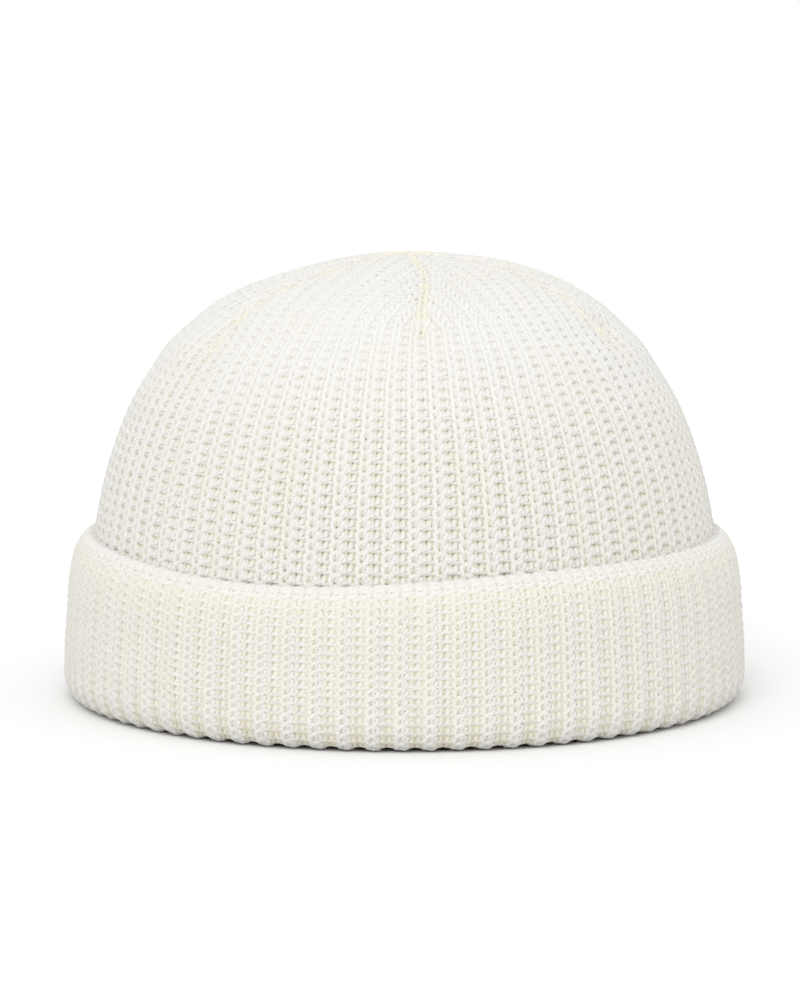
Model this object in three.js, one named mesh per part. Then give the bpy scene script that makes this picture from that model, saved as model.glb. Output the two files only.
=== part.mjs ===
// A ribbed knit beanie that stands on the fold of its turned-up cuff.
// Millimetres, +Z up. The front faces -Y, and the origin is the middle of the base.
// Bearings are degrees round the hat, from the front towards +X.

import * as THREE from "three";
import { mergeVertices } from "three/addons/utils/BufferGeometryUtils.js";

// The hat's own sizes
const hatHeight = 127.8;
const wallBaseRadius = 92.4;
const fabricThickness = 3.4;
const clearance = 0.3;

// The rib: raised knit wales and sunken purl wales, side by side
const ribsPerGore = 13;
const ribDepth = 1.6;

// The turned-up cuff
const cuffHeight = 48;
const cuffStandOff = 6.6;
const foldFlatWidth = 3.6;
const foldInnerRound = 2;

// The six darts that close the crown
const dartBearing = 4;
const dartDepth = 2.4;
const dartGrooveWidth = 4;
const dartRunIn = 12;
const gatherDepth = 1.6;
const gatherReach = 7;
const topDimple = 0.9;
const topFlatRadius = 30;
const waleEndWidth = 0.8;

// The linked seam that lies in each dart
const seamRadius = 0.7;
const seamLift = 1.5;
const seamSides = 6;
const seamTopRadius = 4.5;

// Outside of the body from the fold to the top. rise is a share of hatHeight, reach and
// lean are shares of wallBaseRadius; lean is the section's shift towards +X. The inner
// face of the wall follows the rows marked inside.
const bodyProfile = [
  { rise: 0.0, reach: 1.0, lean: 0, inside: true },
  { rise: 0.19, reach: 0.987, lean: 0, inside: false },
  { rise: 0.344, reach: 0.973, lean: 0, inside: true },
  { rise: 0.433, reach: 0.953, lean: 0, inside: false },
  { rise: 0.521, reach: 0.925, lean: 0, inside: true },
  { rise: 0.609, reach: 0.884, lean: 0, inside: false },
  { rise: 0.675, reach: 0.844, lean: 0, inside: true },
  { rise: 0.741, reach: 0.789, lean: 0, inside: false },
  { rise: 0.797, reach: 0.738, lean: 0.002, inside: true },
  { rise: 0.84, reach: 0.677, lean: 0.005, inside: false },
  { rise: 0.88, reach: 0.613, lean: 0.009, inside: true },
  { rise: 0.915, reach: 0.536, lean: 0.014, inside: false },
  { rise: 0.944, reach: 0.443, lean: 0.027, inside: true },
  { rise: 0.966, reach: 0.352, lean: 0.036, inside: false },
  { rise: 0.9835, reach: 0.252, lean: 0.033, inside: true },
  { rise: 0.994, reach: 0.152, lean: 0.022, inside: false },
  { rise: 0.9985, reach: 0.066, lean: 0.016, inside: false },
  { rise: 1.0, reach: 0.0, lean: 0.015, inside: true },
];

// Where each dart starts, as a share of wallBaseRadius, going round from dartBearing
const darts = [
  { start: 0.63 },
  { start: 0.67 },
  { start: 0.65 },
  { start: 0.64 },
  { start: 0.66 },
  { start: 0.71 },
];

// Outside of the cuff. rise is a share of the cuff's height there,
// spread is a share of cuffStandOff, out from the body's wall.
const cuffOutside = [
  { rise: 0.035, spread: 0.7 },
  { rise: 0.11, spread: 0.92 },
  { rise: 0.26, spread: 1.0 },
  { rise: 0.78, spread: 0.92 },
  { rise: 0.9, spread: 0.8 },
  { rise: 0.975, spread: 0.6 },
  { rise: 1.0, spread: 0.36 },
];

// Inner face of the cuff's band, down from under its edge, with the columns of cuffOutside.
// It keeps the fabric's thickness, but where the band leans in it rests against the body.
const cuffInside = [
  { rise: 0.965, spread: 0 },
  { rise: 0.9, spread: 0 },
  { rise: 0.78, spread: 0.92 },
  { rise: 0.26, spread: 1.0 },
];

// Where the cuff's edge dips below its height; drop is a share of cuffHeight
const edgeDips = [
  { bearing: -24, drop: 0.088, spreadDegrees: 25 },
];

const columnsPerGore = 2 * ribsPerGore;
const columnCount = columnsPerGore * darts.length;
const columnStep = 360 / columnCount;
const goreDegrees = 360 / darts.length;
const wallFootHeight = fabricThickness + clearance;
const creamWool = 0xe9e8e2;
const shadedWool = 0xdcd8cc;

const radians = THREE.MathUtils.degToRad;

// A point at a radius and a bearing round an axis that leans towards +X
function roundAxis(radius, bearing, height, lean = 0) {
  const angle = radians(bearing);
  return new THREE.Vector3(lean + radius * Math.sin(angle), -radius * Math.cos(angle), height);
}

// A closed solid between rings of points that all have as many points. A ring whose
// points fall together closes the solid there, and the last ring joins the first if asked.
function solidFromRings(rings, joinLastToFirst) {
  const count = rings[0].length;
  const triangles = [];
  const pairs = joinLastToFirst ? rings.length : rings.length - 1;
  for (let ring = 0; ring < pairs; ring += 1) {
    const low = rings[ring];
    const high = rings[(ring + 1) % rings.length];
    for (let column = 0; column < count; column += 1) {
      const next = (column + 1) % count;
      triangles.push(low[column], low[next], high[next]);
      triangles.push(low[column], high[next], high[column]);
    }
  }
  return closedGeometry(triangles);
}

// Merges equal corners and drops the triangles that shrink to a line or a point
function closedGeometry(corners) {
  const loose = new THREE.BufferGeometry().setFromPoints(corners);
  const merged = mergeVertices(loose, 1e-3);
  const index = merged.getIndex().array;
  const kept = [];
  for (let corner = 0; corner < index.length; corner += 3) {
    const [a, b, c] = index.slice(corner, corner + 3);
    if (a !== b && b !== c && c !== a) {
      kept.push(a, b, c);
    }
  }
  merged.setIndex(kept);
  const flatShaded = merged.toNonIndexed();
  flatShaded.computeVertexNormals();
  return flatShaded;
}

// The body's sections, with the outward direction of the wall at each
const sections = bodyProfile.map((row, place) => {
  const below = bodyProfile[Math.max(place - 1, 0)];
  const above = bodyProfile[Math.min(place + 1, bodyProfile.length - 1)];
  const climb = (above.rise - below.rise) * hatHeight;
  const narrowing = (below.reach - above.reach) * wallBaseRadius;
  const length = Math.hypot(climb, narrowing);
  const atTop = row.reach === 0;
  return {
    height: row.rise * hatHeight,
    radius: row.reach * wallBaseRadius,
    lean: row.lean * wallBaseRadius,
    inside: row.inside,
    outward: atTop ? 0 : climb / length,
    upward: atTop ? 1 : narrowing / length,
  };
});

// Radius of the body's outside at a height below its shoulder
function bodyRadiusAt(height) {
  const upper = sections.findIndex((section) => section.height >= height && section.height > 0);
  const from = sections[upper - 1];
  const to = sections[upper];
  const share = (height - from.height) / (to.height - from.height);
  return THREE.MathUtils.lerp(from.radius, to.radius, share);
}

// The darts on the left and right of a column's gore, and the column's place in the gore
function goreOf(column) {
  const gore = Math.floor(column / columnsPerGore);
  return {
    middle: dartBearing + (gore + 0.5) * goreDegrees,
    leftStart: darts[gore].start * wallBaseRadius,
    rightStart: darts[(gore + 1) % darts.length].start * wallBaseRadius,
    place: (column % columnsPerGore) - columnsPerGore / 2,
  };
}

// Bearing of a wale at a radius. Above the start of a dart the wales stay side by side at
// the same spacing, so that each gore keeps parallel ribs, and end where they reach the seam.
function waleBearing(column, radius) {
  const { middle, leftStart, rightStart, place } = goreOf(column);
  const dartStart = place < 0 ? leftStart : rightStart;
  if (radius === 0) {
    return middle;
  }
  const crowding = Math.max(1, dartStart / radius);
  const turn = Math.abs(place) * columnStep * crowding;
  const toSeam = radians(goreDegrees / 2 - turn) * radius;
  return middle + Math.sign(place) * (toSeam < waleEndWidth ? goreDegrees / 2 : turn);
}

// How deep a dart's groove is at a radius: from nothing at its start to its whole depth
function grooveShare(dartStart, radius) {
  return THREE.MathUtils.smoothstep(dartStart - radius, 0, dartRunIn);
}

// How far the fabric stands out from the body's section: ribs, dart grooves and gathers
function bodyRelief(column, section) {
  const { middle, leftStart, rightStart } = goreOf(column);
  const fromMiddle = waleBearing(column, section.radius) - middle;
  const onLeft = fromMiddle < 0;
  const dartStart = onLeft ? leftStart : rightStart;
  const toDart = radians(goreDegrees / 2 - Math.abs(fromMiddle)) * section.radius;
  const inGroove = grooveShare(dartStart, section.radius)
    * (1 - THREE.MathUtils.smoothstep(toDart, 0, dartGrooveWidth));
  const flattening = THREE.MathUtils.smoothstep(section.radius, 0, topFlatRadius);
  const isRaised = column % 2 === 1 && toDart > waleEndWidth / 2;
  const rib = (isRaised ? 0.5 : -0.5) * ribDepth * flattening;
  const fromStart = Math.hypot(toDart, section.radius - dartStart);
  const gather = gatherDepth * Math.exp(-((fromStart / gatherReach) ** 2));
  return rib * (1 - inGroove) - dartDepth * inGroove - gather;
}

// A ring of the body at a section, set inwards from its outside by a depth
function bodyRing(section, depth) {
  const ring = [];
  for (let column = 0; column < columnCount; column += 1) {
    const relief = section.radius > 0 ? bodyRelief(column, section) : -topDimple;
    const offset = relief - depth;
    const radius = section.radius + section.outward * offset;
    const height = section.height + section.upward * offset;
    const bearing = waleBearing(column, section.radius);
    ring.push(roundAxis(radius, bearing, height, section.lean));
  }
  return ring;
}

// The body's foot stands just above the fold of the cuff
function crownGeometry() {
  const foot = {
    ...sections[0],
    height: wallFootHeight,
    radius: bodyRadiusAt(wallFootHeight),
    outward: 1,
    upward: 0,
  };
  const fromFoot = [foot, ...sections.slice(1)];
  const outside = fromFoot.map((section) => bodyRing(section, 0));
  const inside = fromFoot
    .filter((section) => section.inside)
    .map((section) => bodyRing(section, fabricThickness));
  return solidFromRings([...inside.reverse(), ...outside], false);
}

// Height of the cuff's edge at a bearing
function edgeHeight(bearing) {
  let height = cuffHeight;
  for (const dip of edgeDips) {
    const turn = ((((bearing - dip.bearing) % 360) + 540) % 360) - 180;
    height -= dip.drop * cuffHeight * Math.exp(-0.5 * (turn / dip.spreadDegrees) ** 2);
  }
  return height;
}

// One section through the cuff at a column, from the inner end of its fold out and round.
// The turned fabric shows its other face, so its ribs rise where the body's sink.
function cuffSection(column) {
  const bearing = dartBearing + column * columnStep;
  const edge = edgeHeight(bearing);
  const rib = (column % 2 ? -0.5 : 0.5) * ribDepth;
  const footRadius = bodyRadiusAt(wallFootHeight);
  const foldInside = footRadius - fabricThickness;
  const flatFrom = foldInside + foldInnerRound;
  const outside = cuffOutside.map(({ rise, spread }) => ({
    height: rise * edge,
    radius: bodyRadiusAt(rise * edge) + spread * cuffStandOff + rib,
  }));
  const inside = cuffInside.map(({ rise, spread }) => {
    const body = bodyRadiusAt(rise * edge);
    const free = body + spread * cuffStandOff + rib - fabricThickness;
    return { height: rise * edge, radius: Math.max(free, body + ribDepth / 2 + clearance) };
  });
  const section = [
    { height: fabricThickness, radius: foldInside },
    { height: foldInnerRound / 2, radius: foldInside },
    { height: 0, radius: flatFrom },
    { height: 0, radius: flatFrom + foldFlatWidth + rib / 2 },
    ...outside,
    ...inside,
    { height: fabricThickness, radius: footRadius + ribDepth },
  ];
  return section.map((point) => roundAxis(point.radius, bearing, point.height));
}

function cuffGeometry() {
  const columns = [];
  for (let column = 0; column < columnCount; column += 1) {
    columns.push(cuffSection(column));
  }
  const rings = columns[0].map((_, place) => columns.map((column) => column[place]));
  return solidFromRings(rings, true);
}

// A seam lies in the bottom of its dart's groove, clear of the fabric on both sides
function seamGeometry(dart) {
  const start = darts[dart].start * wallBaseRadius;
  const column = dart * columnsPerGore;
  const route = sections
    .filter((section) => section.radius < start - dartGrooveWidth && section.radius > seamTopRadius)
    .map((section) => {
      const offset = bodyRelief(column, section) + seamLift;
      return {
        radius: section.radius + section.outward * offset,
        height: section.height + section.upward * offset,
        section,
      };
    });
  const bearing = dartBearing + dart * goreDegrees;
  const across = roundAxis(1, bearing - 90, 0);
  const rings = route.map(({ radius, height, section }) => {
    const centre = roundAxis(radius, bearing, height, section.lean);
    const outward = roundAxis(section.outward, bearing, section.upward);
    const ring = [];
    for (let side = 0; side < seamSides; side += 1) {
      const turn = (2 * Math.PI * side) / seamSides;
      ring.push(centre.clone()
        .addScaledVector(across, seamRadius * Math.cos(turn))
        .addScaledVector(outward, seamRadius * Math.sin(turn)));
    }
    return { centre, ring };
  });
  const capped = rings.map(({ ring }) => ring);
  capped.unshift(Array(seamSides).fill(rings[0].centre));
  capped.push(Array(seamSides).fill(rings[rings.length - 1].centre));
  return solidFromRings(capped, false);
}

function knitMaterial(color) {
  return new THREE.MeshStandardMaterial({ color, roughness: 0.92, metalness: 0 });
}

function piece(name, geometry, color) {
  const mesh = new THREE.Mesh(geometry, knitMaterial(color));
  mesh.name = name;
  return mesh;
}

const beanie = new THREE.Group();
beanie.add(piece("crown", crownGeometry(), creamWool));
beanie.add(piece("cuff", cuffGeometry(), creamWool));
for (let dart = 0; dart < darts.length; dart += 1) {
  beanie.add(piece(`dart_seam_${dart + 1}`, seamGeometry(dart), shadedWool));
}

export default beanie;
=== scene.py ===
import bpy
import numpy as np
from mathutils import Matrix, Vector


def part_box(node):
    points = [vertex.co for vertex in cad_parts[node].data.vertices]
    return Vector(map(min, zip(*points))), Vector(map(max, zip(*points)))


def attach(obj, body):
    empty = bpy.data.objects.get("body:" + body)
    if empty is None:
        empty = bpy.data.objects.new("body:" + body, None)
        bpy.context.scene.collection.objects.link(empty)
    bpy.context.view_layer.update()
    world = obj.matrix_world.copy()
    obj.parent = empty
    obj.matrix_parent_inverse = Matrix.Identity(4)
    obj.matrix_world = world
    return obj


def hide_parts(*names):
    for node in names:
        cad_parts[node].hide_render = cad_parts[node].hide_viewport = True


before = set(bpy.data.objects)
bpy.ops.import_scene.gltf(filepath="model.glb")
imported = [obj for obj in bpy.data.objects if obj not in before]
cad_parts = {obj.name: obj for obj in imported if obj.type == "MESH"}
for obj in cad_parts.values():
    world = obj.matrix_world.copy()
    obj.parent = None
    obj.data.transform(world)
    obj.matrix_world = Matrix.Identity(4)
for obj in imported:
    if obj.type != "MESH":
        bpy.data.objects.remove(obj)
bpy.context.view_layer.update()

bpy.ops.object.select_all(action="DESELECT")


# The body's wall: one layer of 1x1 rib in off-white yarn, knitted as a tube and closed
# over the head by six darts. This piece is the fabric behind the loops, seen from inside
# the hat and through the holes of the knit. It ends just above the fold of the cuff.
crown_low, crown_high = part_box("crown")
cuff_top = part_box("cuff")[1]
rib_depth = 0.0016
wall_radius = (crown_high[0] - crown_low[0]) / 2 - rib_depth / 2
foot_height = crown_low[2]
cuff_height = cuff_top[2]
seams_above_crown = 0.0004
hat_height = crown_high[2] + seams_above_crown
fabric_thickness = 0.0034

# The front dart's bearing, and the radius at each dart's lower end, going round from it
dart_bearing = 4.0
dart_starts = np.array([0.63, 0.67, 0.65, 0.64, 0.66, 0.71]) * wall_radius
gore_degrees = 360 / len(dart_starts)
wales_per_gore = 26
wale_count = wales_per_gore * len(dart_starts)
wale_degrees = gore_degrees / wales_per_gore

groove_depth = 0.0012
groove_width = 0.004
groove_run_in = 0.012
groove_fades_from = 0.022
groove_fades_to = 0.003
gather_depth = 0.0012
gather_reach = 0.007

# Outside of the body, from the top down: height and radius as shares of the hat's height
# and the wall's radius, and the lean towards +X as a share of the wall's radius
body_outline = np.array([
    (1.0, 0.0, 0.015),
    (0.9985, 0.066, 0.016),
    (0.994, 0.152, 0.022),
    (0.9835, 0.252, 0.033),
    (0.966, 0.352, 0.036),
    (0.944, 0.443, 0.027),
    (0.915, 0.536, 0.014),
    (0.88, 0.613, 0.009),
    (0.84, 0.677, 0.005),
    (0.797, 0.738, 0.002),
    (0.741, 0.789, 0.0),
    (0.675, 0.844, 0.0),
    (0.609, 0.884, 0.0),
    (0.521, 0.925, 0.0),
    (0.433, 0.953, 0.0),
    (0.344, 0.973, 0.0),
    (0.19, 0.987, 0.0),
    (0.0, 1.0, 0.0),
])


def smooth_route(points, spacing):
    """Evenly spaced points on a smooth curve through the given ones, and their distances."""
    chords = np.linalg.norm(np.diff(points[:, :2], axis=0), axis=1)
    at = np.concatenate([[0], np.cumsum(chords)])
    slopes = np.gradient(points, at, axis=0)
    fine = np.linspace(0, at[-1], int(at[-1] / spacing) + 1)
    left = np.clip(np.searchsorted(at, fine, side="right") - 1, 0, len(at) - 2)
    gap = (at[left + 1] - at[left])[:, None]
    t = (fine - at[left])[:, None] / gap
    curve = (
        (2 * t**3 - 3 * t**2 + 1) * points[left]
        + (t**3 - 2 * t**2 + t) * gap * slopes[left]
        + (3 * t**2 - 2 * t**3) * points[left + 1]
        + (t**3 - t**2) * gap * slopes[left + 1]
    )
    steps = np.linalg.norm(np.diff(curve[:, :2], axis=0), axis=1)
    return curve, np.concatenate([[0], np.cumsum(steps)])


outline = body_outline[:, [1, 0, 2]] * [wall_radius, hat_height, wall_radius]
over_the_top = outline[1:2] * [-1, 1, 1]
curve_spacing = 0.0005
body_curve, curve_along = smooth_route(np.concatenate([over_the_top, outline]), curve_spacing)
top_at = int(np.argmin(np.abs(body_curve[:, 0])))
body_along = curve_along[top_at:] - curve_along[top_at]
body_radius, body_height, body_lean = body_curve[top_at:].T
body_slope = np.gradient(body_curve[:, :2], curve_along, axis=0)[top_at:]
body_slope /= np.linalg.norm(body_slope, axis=1)[:, None]


def turned(radius, bearing, height, lean=0.0):
    """Points at a radius and a bearing in degrees, from the front towards +X."""
    angle = np.radians(bearing)
    x = lean + radius * np.sin(angle)
    return np.stack([x, -radius * np.cos(angle), height + 0 * x], axis=-1)


def smooth_step(value, low, high):
    """From 0 at low to 1 at high, with soft ends."""
    share = np.clip((value - low) / (high - low), 0, 1)
    return share * share * (3 - 2 * share)


def dart_relief(radius, bearing):
    """How far the fabric is drawn in by the darts and by the gathers at their lower ends."""
    turn = np.mod(bearing - dart_bearing + gore_degrees / 2, 360)
    dart = np.floor(turn / gore_degrees).astype(int) % len(dart_starts)
    to_dart = np.radians(np.abs(turn % gore_degrees - gore_degrees / 2)) * radius
    start = dart_starts[dart]
    groove = smooth_step(start - radius, 0, groove_run_in)
    groove = groove * (1 - smooth_step(to_dart, 0, groove_width))
    groove = groove * smooth_step(radius, groove_fades_to, groove_fades_from)
    from_start = np.hypot(to_dart, radius - start)
    return -groove_depth * groove - gather_depth * np.exp(-((from_start / gather_reach) ** 2))


def on_body(along, bearing, out):
    """Points of the body: metres down the wall from the top, degrees round, metres out."""
    radius = np.interp(along, body_along, body_radius)
    height = np.interp(along, body_along, body_height)
    lean = np.interp(along, body_along, body_lean)
    outward = -np.interp(along, body_along, body_slope[:, 1])
    upward = np.interp(along, body_along, body_slope[:, 0])
    out = out + dart_relief(radius, bearing)
    return turned(radius + outward * out, bearing, height + upward * out, lean)


def along_at_height(height):
    """How far down the wall from the top a height lies."""
    return float(np.interp(-height, -body_height, body_along))


def wale_relief(bearing, depth):
    """Raised on the knit wales and sunken on the purl wales, as far as depth."""
    wale = (bearing - dart_bearing) / wale_degrees
    return -depth / 2 * np.cos(np.pi * wale)


wall_rows = 60
wall_outer_face = -0.0026
wall_rib_depth = 0.0004
wall_ribs_full_at = 0.03
crown_wall_rise = 0.0008
crown_rise_keeps_to = 0.05
crown_rise_ends_at = 0.08
centre_rise = 0.0006
centre_rise_keeps_to = 0.004
centre_rise_ends_at = 0.012
edge_wall_rise = 0.0008
edge_rise_length = 0.006
merge_distance = 1e-5
body_foot = along_at_height(foot_height)

bpy.ops.mesh.primitive_grid_add(x_subdivisions=wale_count, y_subdivisions=wall_rows, size=2)
crown_wall = bpy.context.object
crown_wall.name = "crown_wall"
flat = np.empty(3 * len(crown_wall.data.vertices))
crown_wall.data.vertices.foreach_get("co", flat)
flat = flat.reshape(-1, 3)
wall_bearing = dart_bearing + 180 * (flat[:, 0] + 1)
wall_along = body_foot * (1 - flat[:, 1]) / 2
flattening = smooth_step(wall_along, 0, wall_ribs_full_at)
on_crown = 1 - smooth_step(wall_along, crown_rise_keeps_to, crown_rise_ends_at)
at_centre = 1 - smooth_step(wall_along, centre_rise_keeps_to, centre_rise_ends_at)
edge_along = along_at_height(cuff_height)
in_cuff = smooth_step(wall_along, edge_along - edge_rise_length, edge_along)
wall_out = wall_outer_face + wale_relief(wall_bearing, wall_rib_depth) * flattening
wall_out = wall_out + crown_wall_rise * on_crown
wall_out = wall_out + centre_rise * at_centre
wall_out = wall_out + edge_wall_rise * in_cuff
crown_wall.data.vertices.foreach_set("co", on_body(wall_along, wall_bearing, wall_out).ravel())
crown_wall.data.update()
bpy.ops.object.mode_set(mode="EDIT")
bpy.ops.mesh.select_all(action="SELECT")
bpy.ops.mesh.remove_doubles(threshold=merge_distance)
bpy.ops.mesh.normals_make_consistent(inside=False)
bpy.ops.object.mode_set(mode="OBJECT")
thickness = crown_wall.modifiers.new("thickness", "SOLIDIFY")
thickness.thickness = fabric_thickness + wall_outer_face
thickness.offset = -1
bpy.ops.object.modifier_apply(modifier="thickness")
bpy.ops.object.shade_smooth()
bpy.ops.object.select_all(action="DESELECT")

# The finish of the wool, which the other pieces share: matt, with a soft sheen, and a
# little unevenly dyed
wool_roughness = 0.9
wool_specular = 0.25
wool_sheen = 0.15
sheen_roughness = 0.6
cloud_detail = 3
clouds_from = 0.45
clouds_to = 0.8


def make_cloud_group():
    """Soft uneven colour over the hat, between two shades, by the place on the hat."""
    group = bpy.data.node_groups.new("dye_clouds", "ShaderNodeTree")
    group.interface.new_socket("Light", in_out="INPUT", socket_type="NodeSocketColor")
    group.interface.new_socket("Dark", in_out="INPUT", socket_type="NodeSocketColor")
    group.interface.new_socket("Size", in_out="INPUT", socket_type="NodeSocketFloat")
    group.interface.new_socket("Colour", in_out="OUTPUT", socket_type="NodeSocketColor")
    nodes, links = group.nodes, group.links
    inputs = nodes.new("NodeGroupInput")
    outputs = nodes.new("NodeGroupOutput")
    place = nodes.new("ShaderNodeTexCoord")
    noise = nodes.new("ShaderNodeTexNoise")
    noise.inputs["Detail"].default_value = cloud_detail
    spread = nodes.new("ShaderNodeMapRange")
    spread.inputs["From Min"].default_value = clouds_from
    spread.inputs["From Max"].default_value = clouds_to
    mix = nodes.new("ShaderNodeMix")
    mix.data_type = "RGBA"
    links.new(place.outputs["Object"], noise.inputs["Vector"])
    links.new(inputs.outputs["Size"], noise.inputs["Scale"])
    links.new(noise.outputs["Fac"], spread.inputs["Value"])
    links.new(spread.outputs["Result"], mix.inputs["Factor"])
    links.new(inputs.outputs["Light"], mix.inputs["A"])
    links.new(inputs.outputs["Dark"], mix.inputs["B"])
    links.new(mix.outputs["Result"], outputs.inputs["Colour"])
    return group


dye_clouds = make_cloud_group()


def knit_material(name, light, dark, cloud_size):
    """Matt wool: its colour from the dye clouds, and its bump left to the caller."""
    material = bpy.data.materials.new(name)
    material.use_nodes = True
    nodes, links = material.node_tree.nodes, material.node_tree.links
    shader = nodes["Principled BSDF"]
    shader.inputs["Roughness"].default_value = wool_roughness
    shader.inputs["Specular IOR Level"].default_value = wool_specular
    shader.inputs["Sheen Weight"].default_value = wool_sheen
    shader.inputs["Sheen Roughness"].default_value = sheen_roughness
    clouds = nodes.new("ShaderNodeGroup")
    clouds.node_tree = dye_clouds
    clouds.inputs["Light"].default_value = light
    clouds.inputs["Dark"].default_value = dark
    clouds.inputs["Size"].default_value = cloud_size
    bump = nodes.new("ShaderNodeBump")
    links.new(clouds.outputs["Colour"], shader.inputs["Base Color"])
    links.new(bump.outputs["Normal"], shader.inputs["Normal"])
    return material, bump


# At a scale of 1 a Wave texture has 20 bands in each 2 pi of its chart
wave_scale = 2 * np.pi / 20
back_courses = 62
loop_strength = 0.7
loop_relief = 0.0015


def loops_on(material, bump, wales, courses):
    """Low rows of loops over the fabric's back, as bump along the piece's own chart."""
    nodes, links = material.node_tree.nodes, material.node_tree.links
    chart = nodes.new("ShaderNodeUVMap")
    chart.uv_map = "UVMap"
    across = nodes.new("ShaderNodeTexWave")
    across.inputs["Scale"].default_value = wave_scale * wales
    along = nodes.new("ShaderNodeTexWave")
    along.bands_direction = "Y"
    along.inputs["Scale"].default_value = wave_scale * courses
    loops = nodes.new("ShaderNodeMath")
    loops.operation = "MULTIPLY"
    links.new(chart.outputs["UV"], across.inputs["Vector"])
    links.new(chart.outputs["UV"], along.inputs["Vector"])
    links.new(across.outputs["Fac"], loops.inputs[0])
    links.new(along.outputs["Fac"], loops.inputs[1])
    links.new(loops.outputs["Value"], bump.inputs["Height"])
    bump.inputs["Strength"].default_value = loop_strength
    bump.inputs["Distance"].default_value = loop_relief


# The fabric's back is darker and warmer than the yarn: painted shade where it shows through the
# holes of the knit, and the inside of the hat has the same colour
back_tan_shade = (0.67, 0.64, 0.54, 1)
back_cloud_size = 30
fabric_back, back_bump = knit_material("fabric_back", back_tan_shade, back_tan_shade, back_cloud_size)
loops_on(fabric_back, back_bump, wale_count, back_courses)
crown_wall.data.materials.append(fabric_back)
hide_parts("crown")
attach(crown_wall, "root")


# The knit of the body: courses of soft two-ply yarn, each a closed round of knit and purl
# loops, hung in the loops of the course below. Knit wales stand out and purl wales lie
# back between them as ladders of small holes; the yarn that lies deep there gets a painted
# yellow shade.
yarn_radius = 0.00100
yarn_sides = 6
points_per_stitch = 8
course_height = 0.00307
fabric_middle = -0.0008
knit_share = 0.534
loop_slant = 0.064

# Half a loop, from the sinker to the middle of its head, on a knit and on a purl wale:
# across in wales, up in courses and out in metres
knit_half = np.array([
    (-0.500, -0.849, 0.00000),
    (-0.104, -0.528, -0.00021),
    (-0.259, -0.087, 0.00033),
    (-0.439, 0.658, 0.00023),
    (0.000, 1.064, 0.00006),
])
purl_half = np.array([
    (-0.500, -0.849, 0.00000),
    (-0.140, -0.779, 0.00048),
    (-0.341, 0.297, -0.00085),
    (-0.484, 1.081, -0.00041),
    (0.000, 1.232, 0.00040),
])

# How far a loop's legs are shifted sideways, in wales, and one leg turned out, in metres
knit_shift = -0.027
purl_shift = -0.100
knit_turn = 0.00015
purl_turn = 0.00002

# How far each loop strays: across in wales, up in courses and out in metres
dice = np.random.default_rng(seed=7)
loop_slips = [0.025, 0.04, 0.00004]


def one_stitch(half, leg_shift, turn_out):
    """A whole loop: the half and its mirror, with the legs shifted and the loop turned."""
    across, up, out = np.concatenate([half, half[-2:0:-1] * [-1, 1, 1]]).T
    turn = 2 * np.pi * np.arange(points_per_stitch) / points_per_stitch
    across = across + leg_shift * (1 - np.cos(2 * turn)) / 2 + loop_slant * up
    return across, up, out - turn_out * np.sin(turn), (1 - np.cos(turn)) / 2


stitch_forms = {
    1: one_stitch(knit_half, knit_shift, knit_turn),
    -1: one_stitch(purl_half, purl_shift, purl_turn),
}


def course_points(centres, widths, faces, wale_habit, forms):
    """The loops of one course: bearings, heights in courses and depths, with small flaws."""
    bearings, ups, outs = [], [], []
    for centre, width, face, habit in zip(centres, widths, faces, wale_habit):
        across, up, out, rise = forms[face]
        slip = dice.normal(0, 1, 3) * loop_slips
        bearings.append(centre + width * (across + slip[0] * rise))
        ups.append(up + slip[1] * rise)
        outs.append(out + (slip[2] + habit) * rise)
    return np.concatenate(bearings), np.concatenate(ups), np.concatenate(outs)


def yarn_mesh(name, rounds, radius):
    """One mesh of closed rounds of yarn: points, outward directions and how far they lift."""
    corners, quads, chart, lifts = [], [], [], []
    first = 0
    around = 2 * np.pi * np.arange(yarn_sides) / yarn_sides
    for points, outward, outs in rounds:
        count = len(points)
        ahead = np.roll(points, -1, axis=0) - np.roll(points, 1, axis=0)
        side = np.cross(ahead, outward)
        side /= np.linalg.norm(side, axis=1)[:, None]
        over = np.cross(side, ahead)
        over /= np.linalg.norm(over, axis=1)[:, None]
        ring = points[:, None, :] + radius * (
            np.cos(around)[None, :, None] * side[:, None, :]
            + np.sin(around)[None, :, None] * over[:, None, :]
        )
        corners.append(ring.reshape(-1, 3))
        lifts.append((outs[:, None] + radius * np.sin(around)[None, :]).ravel())
        here = np.arange(count)[:, None]
        step = np.arange(yarn_sides)[None, :]
        after = (here + 1) % count
        turned_on = (step + 1) % yarn_sides
        quads.append(first + np.stack([
            here * yarn_sides + step,
            after * yarn_sides + step,
            after * yarn_sides + turned_on,
            here * yarn_sides + turned_on,
        ], axis=-1).reshape(-1, 4))
        chart.append(np.stack([
            np.stack([here + 0 * step, step + 0 * here], axis=-1),
            np.stack([here + 1 + 0 * step, step + 0 * here], axis=-1),
            np.stack([here + 1 + 0 * step, step + 1 + 0 * here], axis=-1),
            np.stack([here + 0 * step, step + 1 + 0 * here], axis=-1),
        ], axis=-2).reshape(-1, 2) / [points_per_stitch, yarn_sides])
        first += count * yarn_sides
    mesh = bpy.data.meshes.new(name)
    mesh.from_pydata(np.concatenate(corners).tolist(), [], np.concatenate(quads).tolist())
    along_yarn = mesh.uv_layers.new(name="along_yarn")
    along_yarn.data.foreach_set("uv", np.concatenate(chart).ravel())
    lift = mesh.attributes.new("lift", "FLOAT", "POINT")
    lift.data.foreach_set("value", np.concatenate(lifts).astype(np.float32))
    mesh.shade_smooth()
    piece = bpy.data.objects.new(name, mesh)
    bpy.context.collection.objects.link(piece)
    return piece


ply_scale = (12, 2, 1)
ply_bands = 0.5
ply_distortion = 2
ply_detail = 3
ply_strength = 0.35
ply_relief = 0.00025


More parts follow.
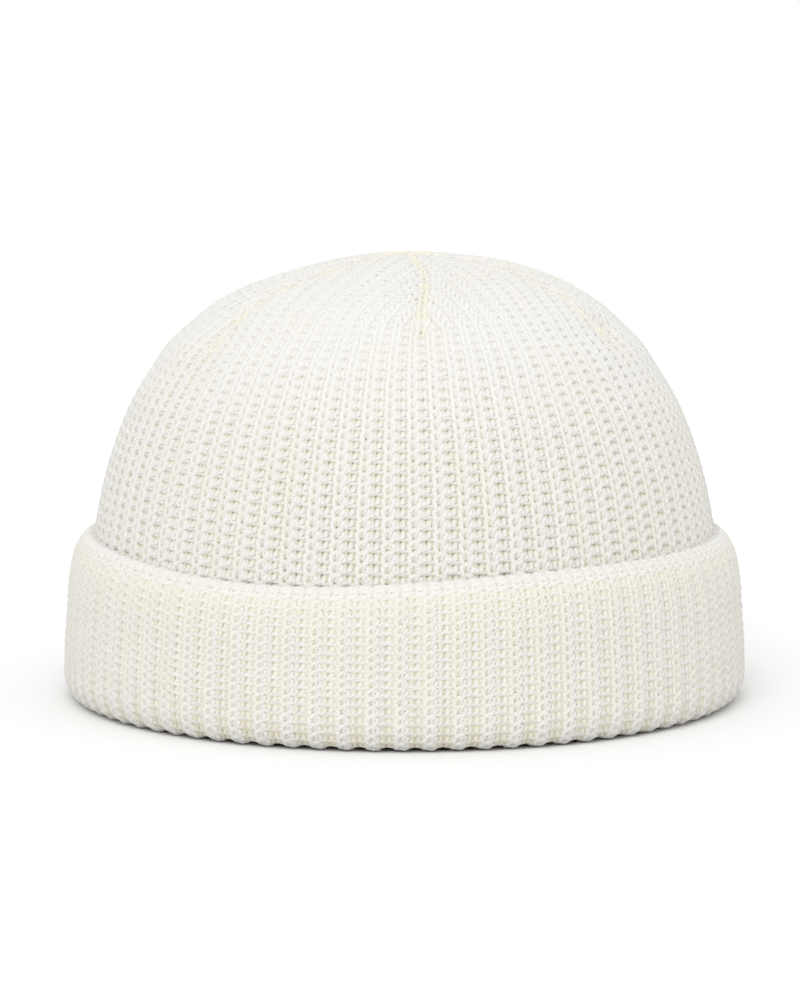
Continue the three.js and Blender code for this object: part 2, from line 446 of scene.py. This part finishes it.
def twist_on(material, bump):
    """Two plies twisted together: slanting, uneven bands that follow the yarn, as bump."""
    nodes, links = material.node_tree.nodes, material.node_tree.links
    chart = nodes.new("ShaderNodeUVMap")
    chart.uv_map = "along_yarn"
    slant = nodes.new("ShaderNodeMapping")
    slant.inputs["Scale"].default_value = ply_scale
    plies = nodes.new("ShaderNodeTexWave")
    plies.bands_direction = "DIAGONAL"
    plies.inputs["Scale"].default_value = ply_bands
    plies.inputs["Distortion"].default_value = ply_distortion
    plies.inputs["Detail"].default_value = ply_detail
    links.new(chart.outputs["UV"], slant.inputs["Vector"])
    links.new(slant.outputs["Vector"], plies.inputs["Vector"])
    links.new(plies.outputs["Fac"], bump.inputs["Height"])
    bump.inputs["Strength"].default_value = ply_strength
    bump.inputs["Distance"].default_value = ply_relief


def shade_on(material, shade, deep, shallow):
    """Painted shade: a darker, warmer colour on the yarn that lies deep in the fabric."""
    nodes, links = material.node_tree.nodes, material.node_tree.links
    lift = nodes.new("ShaderNodeAttribute")
    lift.attribute_name = "lift"
    spread = nodes.new("ShaderNodeMapRange")
    spread.inputs["From Min"].default_value = deep
    spread.inputs["From Max"].default_value = shallow
    mix = nodes.new("ShaderNodeMix")
    mix.data_type = "RGBA"
    mix.inputs["A"].default_value = shade
    colour = nodes["Principled BSDF"].inputs["Base Color"]
    links.new(lift.outputs["Fac"], spread.inputs["Value"])
    links.new(spread.outputs["Result"], mix.inputs["Factor"])
    links.new(colour.links[0].from_socket, mix.inputs["B"])
    links.new(mix.outputs["Result"], colour)


yarn_white = (0.69, 0.68, 0.65, 1)
yarn_cream = (0.69, 0.675, 0.63, 1)
# The painted shade of the yarn that lies deep, from deep_in_rib up to out_on_rib
shaded_white = (0.62, 0.585, 0.41, 1)
yarn_cloud_size = 45
deep_in_rib = -0.0009
out_on_rib = 0.0003
rib_yarn, yarn_bump = knit_material("rib_yarn", yarn_white, yarn_cream, yarn_cloud_size)
shade_on(rib_yarn, shaded_white, deep_in_rib, out_on_rib)
twist_on(rib_yarn, yarn_bump)


def finish_knit(piece, material, *replaced):
    """The knit's yarn, and its place on the part."""
    piece.data.materials.append(material)
    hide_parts(*replaced)
    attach(piece, "root")


# The yarn's painted shade is a little deeper where the darts draw it in, as shade in the
# grooves, and eased off over the crown, where the knit is pulled smooth, as painted light on
# the top
outward_step = 0.001
dart_shade_share = 0.38
crown_light_paint = 0.0004
smooth_above = 0.055
full_relief_below = 0.105
smoothness = 0.45
darts_begin = float(np.interp(dart_starts.max(), body_radius, body_along))


def smoothed_at(along):
    """How far the ribs are pulled smooth: all over the crown, and less down the wall."""
    return 1 - smooth_step(along, smooth_above, full_relief_below)


def body_strand(bearings, alongs, outs):
    """A round of yarn on the body: points, ways outward and the lift that sets its painted
    shade.
    """
    points = on_body(alongs, bearings, outs)
    further = on_body(alongs, bearings, outs + outward_step)
    drawn_in = dart_relief(np.interp(alongs, body_along, body_radius), bearings)
    top_light_paint = crown_light_paint * smoothed_at(alongs)
    return points, further - points, outs + dart_shade_share * drawn_in + top_light_paint


body_faces = np.where(np.arange(wale_count) % 2 == 1, 1, -1)
body_unevenness = 0.00008
body_habit = dice.normal(0, body_unevenness, wale_count)
cuff_overlap = 0.010
knit_ends = along_at_height(cuff_height - cuff_overlap)
courses_up_wall = int((knit_ends - darts_begin) / course_height)
wall_bands = 3

wall_courses = []
for course in range(courses_up_wall):
    middle = darts_begin + course_height * (course + 0.5)
    centres = dart_bearing + wale_degrees * np.arange(wale_count)
    widths = wale_degrees * (1 + (2 * knit_share - 1) * body_faces)
    bearings, ups, outs = course_points(centres, widths, body_faces, body_habit, stitch_forms)
    outs = fabric_middle + (1 - smoothness * smoothed_at(middle)) * outs
    wall_courses.append(body_strand(bearings, middle - ups * course_height, outs))
for band, courses in enumerate(np.array_split(np.arange(courses_up_wall), wall_bands)):
    band_rounds = [wall_courses[course] for course in courses]
    wall_band = yarn_mesh(f"wall_knit_{band + 1}", band_rounds, yarn_radius)
    finish_knit(wall_band, rib_yarn, "crown")


# The knit of the crown: above the start of each dart the wales of a gore stay side by
# side and end at the seams, so the six gores meet in chevrons, and the courses turn from
# round to six-sided towards the top.
six_sided_within = 0.030
round_beyond = 0.062
seam_half_width = 0.0005
least_end_stitch = 0.35
top_courses_from = 0.0045


def gore_course(middle, gore):
    """A gore's stitches in one course: bearings from its middle, widths, faces, places."""
    radius = np.interp(middle, body_along, body_radius)
    sides = []
    for sign in (-1, 1):
        start = dart_starts[gore] if sign < 0 else dart_starts[(gore + 1) % len(dart_starts)]
        pitch = wale_degrees * max(1, start / radius)
        limit = gore_degrees / 2 - sign * wale_degrees / 2
        if start > radius:
            limit = gore_degrees / 2 - np.degrees(seam_half_width / radius)
        whole = max(0, int(np.floor(limit / pitch + 0.5 - least_end_stitch)))
        count = np.arange(whole + 1)
        edges = (count + 0.5 + (knit_share - 0.5) * (1 - 2 * (count % 2))) * pitch
        edges[-1] = limit if whole > 0 else min(edges[-1], limit)
        sides.append(sign * edges)
    edges = np.concatenate([sides[0][::-1], sides[1]])
    first_place = -(len(sides[0]) - 1)
    places = first_place + np.arange(len(edges) - 1)
    faces = np.where((places + wales_per_gore // 2) % 2 == 1, 1, -1)
    return (edges[:-1] + edges[1:]) / 2, np.diff(edges), faces, places


crown_courses = []
middle = darts_begin - course_height / 2
while middle > top_courses_from:
    bearings, alongs, outs = [], [], []
    for gore in range(len(dart_starts)):
        centres, widths, faces, places = gore_course(middle, gore)
        habit = body_habit[(gore * wales_per_gore + places + wales_per_gore // 2) % wale_count]
        turns, ups, depths = course_points(centres, widths, faces, habit, stitch_forms)
        six_sided = 1 - smooth_step(middle, six_sided_within, round_beyond)
        spread = 1 + (1 / np.cos(np.radians(turns)) - 1) * six_sided
        bearings.append(dart_bearing + (gore + 0.5) * gore_degrees + turns)
        alongs.append(middle * spread - ups * course_height)
        outs.append(fabric_middle + (1 - smoothness * smoothed_at(middle)) * depths)
    whole_round = [np.concatenate(part) for part in (bearings, alongs, outs)]
    crown_courses.append(body_strand(*whole_round))
    middle -= course_height
crown_knit = yarn_mesh("crown_knit", crown_courses, yarn_radius)
finish_knit(crown_knit, rib_yarn, "crown")


# The dart seams: the two sides of each dart are linked loop by loop with a finer yarn. It
# shows as a row of small creamy loops that lie sunken in the groove between two gores, and
# the rows run up to the top and grow narrower there.
link_pitch = 0.0027
link_length = 1.85
link_half_width = 0.0014
link_breadth = 0.8
link_taper = 0.35
link_depth = 0.00045
link_lift = -0.0005
link_points = 12
link_slips = [0.00012, 0.00015, 0.0001]
link_yarn_radius = 0.0006
top_link_radius = 0.0008
top_link_share = 0.45
top_link_lift = -0.00032
top_lift_keeps_to = 0.004
top_lift_ends_at = 0.014

seam_cream = (0.73, 0.70, 0.595, 1)
# The painted shade of the links' parts that lie deep in the groove
shaded_seam = (0.66, 0.59, 0.42, 1)
deep_in_seam = -0.0013
out_on_seam = -0.0003
seam_yarn, seam_bump = knit_material("seam_yarn", seam_cream, seam_cream, yarn_cloud_size)
shade_on(seam_yarn, shaded_seam, deep_in_seam, out_on_seam)
twist_on(seam_yarn, seam_bump)


def link_form():
    """A linking loop, narrow below and wide above, with its sides lying in front."""
    turn = 2 * np.pi * np.arange(link_points) / link_points
    across = -link_half_width * np.sin(turn) * (link_breadth - link_taper * np.cos(turn))
    up = -link_length * link_pitch / 2 * np.cos(turn)
    return across, up, -link_depth * np.cos(2 * turn)


from_along = float(np.interp(top_link_radius, body_radius, body_along))
across, up, out = link_form()
for dart, start in enumerate(dart_starts):
    bearing = dart_bearing + dart * gore_degrees
    to_along = float(np.interp(start, body_radius, body_along))
    links = []
    for middle in np.arange(from_along + link_pitch, to_along, link_pitch):
        slip = dice.normal(0, 1, 3) * link_slips
        widening = top_link_share + (1 - top_link_share) * middle / to_along
        below_top = smooth_step(middle, top_lift_keeps_to, top_lift_ends_at)
        lift = top_link_lift + (link_lift - top_link_lift) * below_top
        alongs = np.maximum(middle - up + slip[1], from_along / 2)
        radii = np.interp(alongs, body_along, body_radius)
        aside = np.degrees((across * widening + slip[0]) / radii)
        links.append(body_strand(bearing + aside, alongs, lift + out + slip[2]))
    seam = yarn_mesh(f"dart_link_{dart + 1}", links, link_yarn_radius)
    seam.data.materials.append(seam_yarn)
    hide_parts(f"dart_seam_{dart + 1}")
    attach(seam, "root")


# The cuff: the lower end of the same knit, turned up outside the body. It shows the
# fabric's other face, so its knit wales stand where the body's purl wales lie. This piece
# is the fabric behind its loops, from the fold that the hat stands on to its edge.
stand_off = 0.0066
edge_dip = 0.088
edge_dip_bearing = -24
edge_dip_spread = 25
dip_starts_at = 0.006
dip_full_at = 0.03

# From the inner side of the fold, under it and up the outside: height and distance out
# from the wall's radius in metres for the fold, then as shares of the cuff's height
# and of its stand-off from the body
fold_outline = np.array([
    (0.0050, -0.0036),
    (0.0024, -0.0032),
    (0.0011, -0.0014),
    (0.0009, 0.0012),
])
band_outline = np.array([
    (0.045, 0.62),
    (0.11, 0.90),
    (0.26, 1.0),
    (0.52, 0.985),
    (0.78, 0.92),
    (0.9, 0.80),
    (0.965, 0.58),
    (0.995, 0.28),
    (0.985, 0.02),
    (0.93, -0.05),
])


def body_radius_at(height):
    """The radius of the body at a height."""
    return np.interp(-height, -body_height, body_radius)


fold_part = np.stack([wall_radius + fold_outline[:, 1], fold_outline[:, 0]], axis=1)
band_heights = band_outline[:, 0] * cuff_height
band_radii = body_radius_at(band_heights) + band_outline[:, 1] * stand_off
band_part = np.stack([band_radii, band_heights], axis=1)
cuff_spacing = 0.0003
cuff_curve, cuff_along = smooth_route(np.concatenate([fold_part, band_part]), cuff_spacing)
cuff_radius, cuff_rise = cuff_curve.T
cuff_slope = np.gradient(cuff_curve, cuff_along, axis=0)
cuff_slope /= np.linalg.norm(cuff_slope, axis=1)[:, None]
edge_at = float(cuff_along[np.argmax(cuff_rise)])


def edge_share(bearing):
    """The cuff's height at a bearing, as a share of its whole height."""
    turn = np.mod(bearing - edge_dip_bearing + 180, 360) - 180
    return 1 - edge_dip * np.exp(-0.5 * (turn / edge_dip_spread) ** 2)


def on_cuff(along, bearing, out):
    """Points of the cuff: metres from the fold's inner end, degrees round, metres out."""
    radius = np.interp(along, cuff_along, cuff_radius)
    rise = np.interp(along, cuff_along, cuff_rise)
    outward = np.interp(along, cuff_along, cuff_slope[:, 1])
    upward = -np.interp(along, cuff_along, cuff_slope[:, 0])
    dip = (edge_share(bearing) - 1) * smooth_step(rise, dip_starts_at, dip_full_at)
    dipped = rise * (1 + dip)
    return turned(radius + outward * out, bearing, dipped + upward * out)


cuff_wall_inset = 0.0009
cuff_wall_relief = 0.0012
cuff_wall_relief_from = 0.012
cuff_wall_thickness = 0.0012
cuff_wall_half_steps = 24
cuff_wall_steps = 2 * cuff_wall_half_steps
cuff_wall_from = 0.004
cuff_wall_past_edge = 0.0005
cuff_wall_to = edge_at + cuff_wall_past_edge
tube_radius = 0.004
bpy.ops.mesh.primitive_torus_add(
    major_segments=wale_count,
    minor_segments=cuff_wall_steps,
    major_radius=wall_radius,
    minor_radius=tube_radius,
)
cuff_wall = bpy.context.object
cuff_wall.name = "cuff_wall"
step = np.tile(np.arange(cuff_wall_steps), wale_count)
column = np.repeat(np.arange(wale_count), cuff_wall_steps)
up_the_outside = step < cuff_wall_half_steps
share = np.where(up_the_outside, step, cuff_wall_steps - 1 - step) / (cuff_wall_half_steps - 1)
section_along = cuff_wall_from + share * (cuff_wall_to - cuff_wall_from)
section_bearing = dart_bearing + 360 * column / wale_count
section_out = -cuff_wall_inset - np.where(up_the_outside, 0, cuff_wall_thickness)
above_fold = section_along > cuff_wall_relief_from
section_out = section_out + wale_relief(section_bearing, cuff_wall_relief) * above_fold
section = on_cuff(section_along, section_bearing, section_out)
cuff_wall.data.vertices.foreach_set("co", section.ravel())
cuff_wall.data.update()
bpy.ops.object.mode_set(mode="EDIT")
bpy.ops.mesh.select_all(action="SELECT")
bpy.ops.mesh.normals_make_consistent(inside=False)
bpy.ops.object.mode_set(mode="OBJECT")
bpy.ops.object.shade_smooth()
bpy.ops.object.select_all(action="DESELECT")

fibre_size = 2200
fibre_detail = 4
fibre_strength = 0.35
fibre_relief = 0.0003


def fuzz_on(material, bump):
    """Loose fibres on the fabric, as a fine noise in the bump."""
    nodes, links = material.node_tree.nodes, material.node_tree.links
    place = nodes.new("ShaderNodeTexCoord")
    fibres = nodes.new("ShaderNodeTexNoise")
    fibres.inputs["Scale"].default_value = fibre_size
    fibres.inputs["Detail"].default_value = fibre_detail
    links.new(place.outputs["Object"], fibres.inputs["Vector"])
    links.new(fibres.outputs["Fac"], bump.inputs["Height"])
    bump.inputs["Strength"].default_value = fibre_strength
    bump.inputs["Distance"].default_value = fibre_relief


# The cuff's back is darker and yellower than its yarn: painted shade where it shows in the gaps
# between the loops
cuff_back_tan_shade = (0.69, 0.64, 0.48, 1)
cuff_back, cuff_back_bump = knit_material("cuff_back", cuff_back_tan_shade, cuff_back_tan_shade, back_cloud_size)
fuzz_on(cuff_back, cuff_back_bump)
cuff_wall.data.materials.append(cuff_back)
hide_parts("cuff")
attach(cuff_wall, "root")


# The knit of the cuff: courses of the same yarn from the inner side of the fold to just
# under the edge, a little lower and wider than the body's because they are stretched.
cuff_course_height = 0.00266
cuff_faces = -body_faces
cuff_unevenness = 0.00006
cuff_habit = dice.normal(0, cuff_unevenness, wale_count)
edge_band = 0.0036
cuff_bands = 2
cuff_first = 0.0008
cuff_relief = 0.55
cuff_knit_share = 0.46
cuff_yarn_radius = 0.00098
edge_fading = 0.5
edge_fading_courses = 5
fold_courses = 9
fold_waves = 0.0013
cuff_outward_step = 0.0005

# Half a purl loop of the cuff: its legs closer and its head and feet wider than the body's
cuff_purl_half = np.array([
    (-0.500, -0.849, 0.00000),
    (-0.180, -0.780, 0.00055),
    (-0.230, 0.250, -0.00055),
    (-0.440, 0.980, -0.00010),
    (0.000, 1.200, 0.00055),
])
cuff_forms = {
    1: one_stitch(knit_half, knit_shift, knit_turn),
    -1: one_stitch(cuff_purl_half, 0.0, 0.0),
}

cuff_white = (0.695, 0.684, 0.654, 1)
cuff_cream = (0.695, 0.68, 0.636, 1)
# The painted shade of the cuff's yarn that lies deep, yellower than the body's
shaded_cream = (0.67, 0.605, 0.38, 1)
cuff_yarn, cuff_bump = knit_material("cuff_yarn", cuff_white, cuff_cream, yarn_cloud_size)
shade_on(cuff_yarn, shaded_cream, deep_in_rib, out_on_rib)
twist_on(cuff_yarn, cuff_bump)


def cuff_strand(bearings, alongs, outs):
    """A round of yarn on the cuff: its points, the ways outward there and its lift."""
    points = on_cuff(alongs, bearings, outs)
    further = on_cuff(alongs, bearings, outs + cuff_outward_step)
    return points, further - points, outs


cuff_courses = []
course_count = int((edge_at - edge_band - cuff_first) / cuff_course_height)
for course in range(course_count):
    middle = edge_at - edge_band - cuff_course_height * (course + 0.5)
    centres = dart_bearing + wale_degrees * np.arange(wale_count)
    widths = wale_degrees * (1 + (2 * cuff_knit_share - 1) * cuff_faces)
    bearings, ups, outs = course_points(centres, widths, cuff_faces, cuff_habit, cuff_forms)
    relief = cuff_relief * (1 - edge_fading * (1 - smooth_step(course, 0, edge_fading_courses)))
    in_fold = smooth_step(course, course_count - fold_courses, course_count)
    waves = wale_relief(bearings, -fold_waves) * in_fold
    outs = fabric_middle + relief * outs + waves
    cuff_courses.append(cuff_strand(bearings, middle + ups * cuff_course_height, outs))
for band, courses in enumerate(np.array_split(np.arange(course_count), cuff_bands)):
    band_rounds = [cuff_courses[course] for course in courses]
    cuff_band = yarn_mesh(f"cuff_knit_{band + 1}", band_rounds, cuff_yarn_radius)
    finish_knit(cuff_band, cuff_yarn, "cuff")


# The start edge: the knitting begins with a few fine tubular courses, all knit, which roll
# into a smooth rounded band along the top of the cuff.
edge_course_height = 0.0019
edge_courses = 5
edge_flatness = 0.05
edge_middle = -0.0009
edge_sinks_to_course = 1
edge_lies_out_from_course = 4
edge_yarn_radius = 0.00122
# The start edge's yarn gets a little less of the painted shade
edge_shade_ease = 0.0001

edge_rings = []
for course in range(edge_courses):
    middle = edge_at - edge_band + edge_course_height * (course + 0.5)
    centres = dart_bearing + wale_degrees * np.arange(wale_count)
    widths = np.full(wale_count, wale_degrees)
    all_knit = np.ones(wale_count, int)
    bearings, ups, outs = course_points(centres, widths, all_knit, cuff_habit, cuff_forms)
    sunken = 1 - smooth_step(course, edge_sinks_to_course, edge_lies_out_from_course)
    edge_out = edge_middle * sunken + edge_flatness * outs
    points, outward, lifts = cuff_strand(bearings, middle + ups * edge_course_height, edge_out)
    edge_rings.append((points, outward, lifts + edge_shade_ease))
start_edge = yarn_mesh("start_edge", edge_rings, edge_yarn_radius)
finish_knit(start_edge, cuff_yarn, "cuff")


# The studio: a white floor and soft white light from all round, stronger from above and
# in front, and the camera at the photograph's height and distance.
floor_width = 8.0
pale_grey = (0.80, 0.80, 0.80, 1)
floor_roughness = 0.9
bpy.ops.mesh.primitive_plane_add(size=floor_width)
floor = bpy.context.object
floor.name = "floor"
floor_white = bpy.data.materials.new("floor_white")
floor_white.use_nodes = True
floor_shader = floor_white.node_tree.nodes["Principled BSDF"]
floor_shader.inputs["Base Color"].default_value = pale_grey
floor_shader.inputs["Roughness"].default_value = floor_roughness
floor.data.materials.append(floor_white)

pure_white = (1, 1, 1, 1)
room_strength = 1.0
world = bpy.data.worlds.new("studio")
bpy.context.scene.world = world
world.use_nodes = True
background = world.node_tree.nodes["Background"]
background.inputs["Color"].default_value = pure_white
background.inputs["Strength"].default_value = room_strength

key_strength = 1.34
key_width_degrees = 40
key_direction = Vector((0.1, 0.7, -0.71))
key_light = bpy.data.lights.new("key_light", "SUN")
key_light.energy = key_strength
key_light.angle = np.radians(key_width_degrees)
key_holder = bpy.data.objects.new("key_light", key_light)
key_holder.rotation_euler = key_direction.to_track_quat("-Z", "Y").to_euler()
bpy.context.collection.objects.link(key_holder)

camera_distance = 1.266
camera_height = 0.222
camera_aside = -0.0013
camera_down_degrees = 7.454
focal_pixels = 4412
picture_height = 1000
sensor_height = 36
camera_data = bpy.data.cameras.new("camera")
camera_data.sensor_fit = "VERTICAL"
camera_data.sensor_height = sensor_height
camera_data.lens = camera_data.sensor_height * focal_pixels / picture_height
camera = bpy.data.objects.new("camera", camera_data)
camera.location = (camera_aside, -camera_distance, camera_height)
camera.rotation_euler = (np.radians(90 - camera_down_degrees), 0, 0)
bpy.context.collection.objects.link(camera)
bpy.context.scene.camera = camera
bpy.context.scene.view_settings.view_transform = "Standard"

bpy.context.view_layer.update()
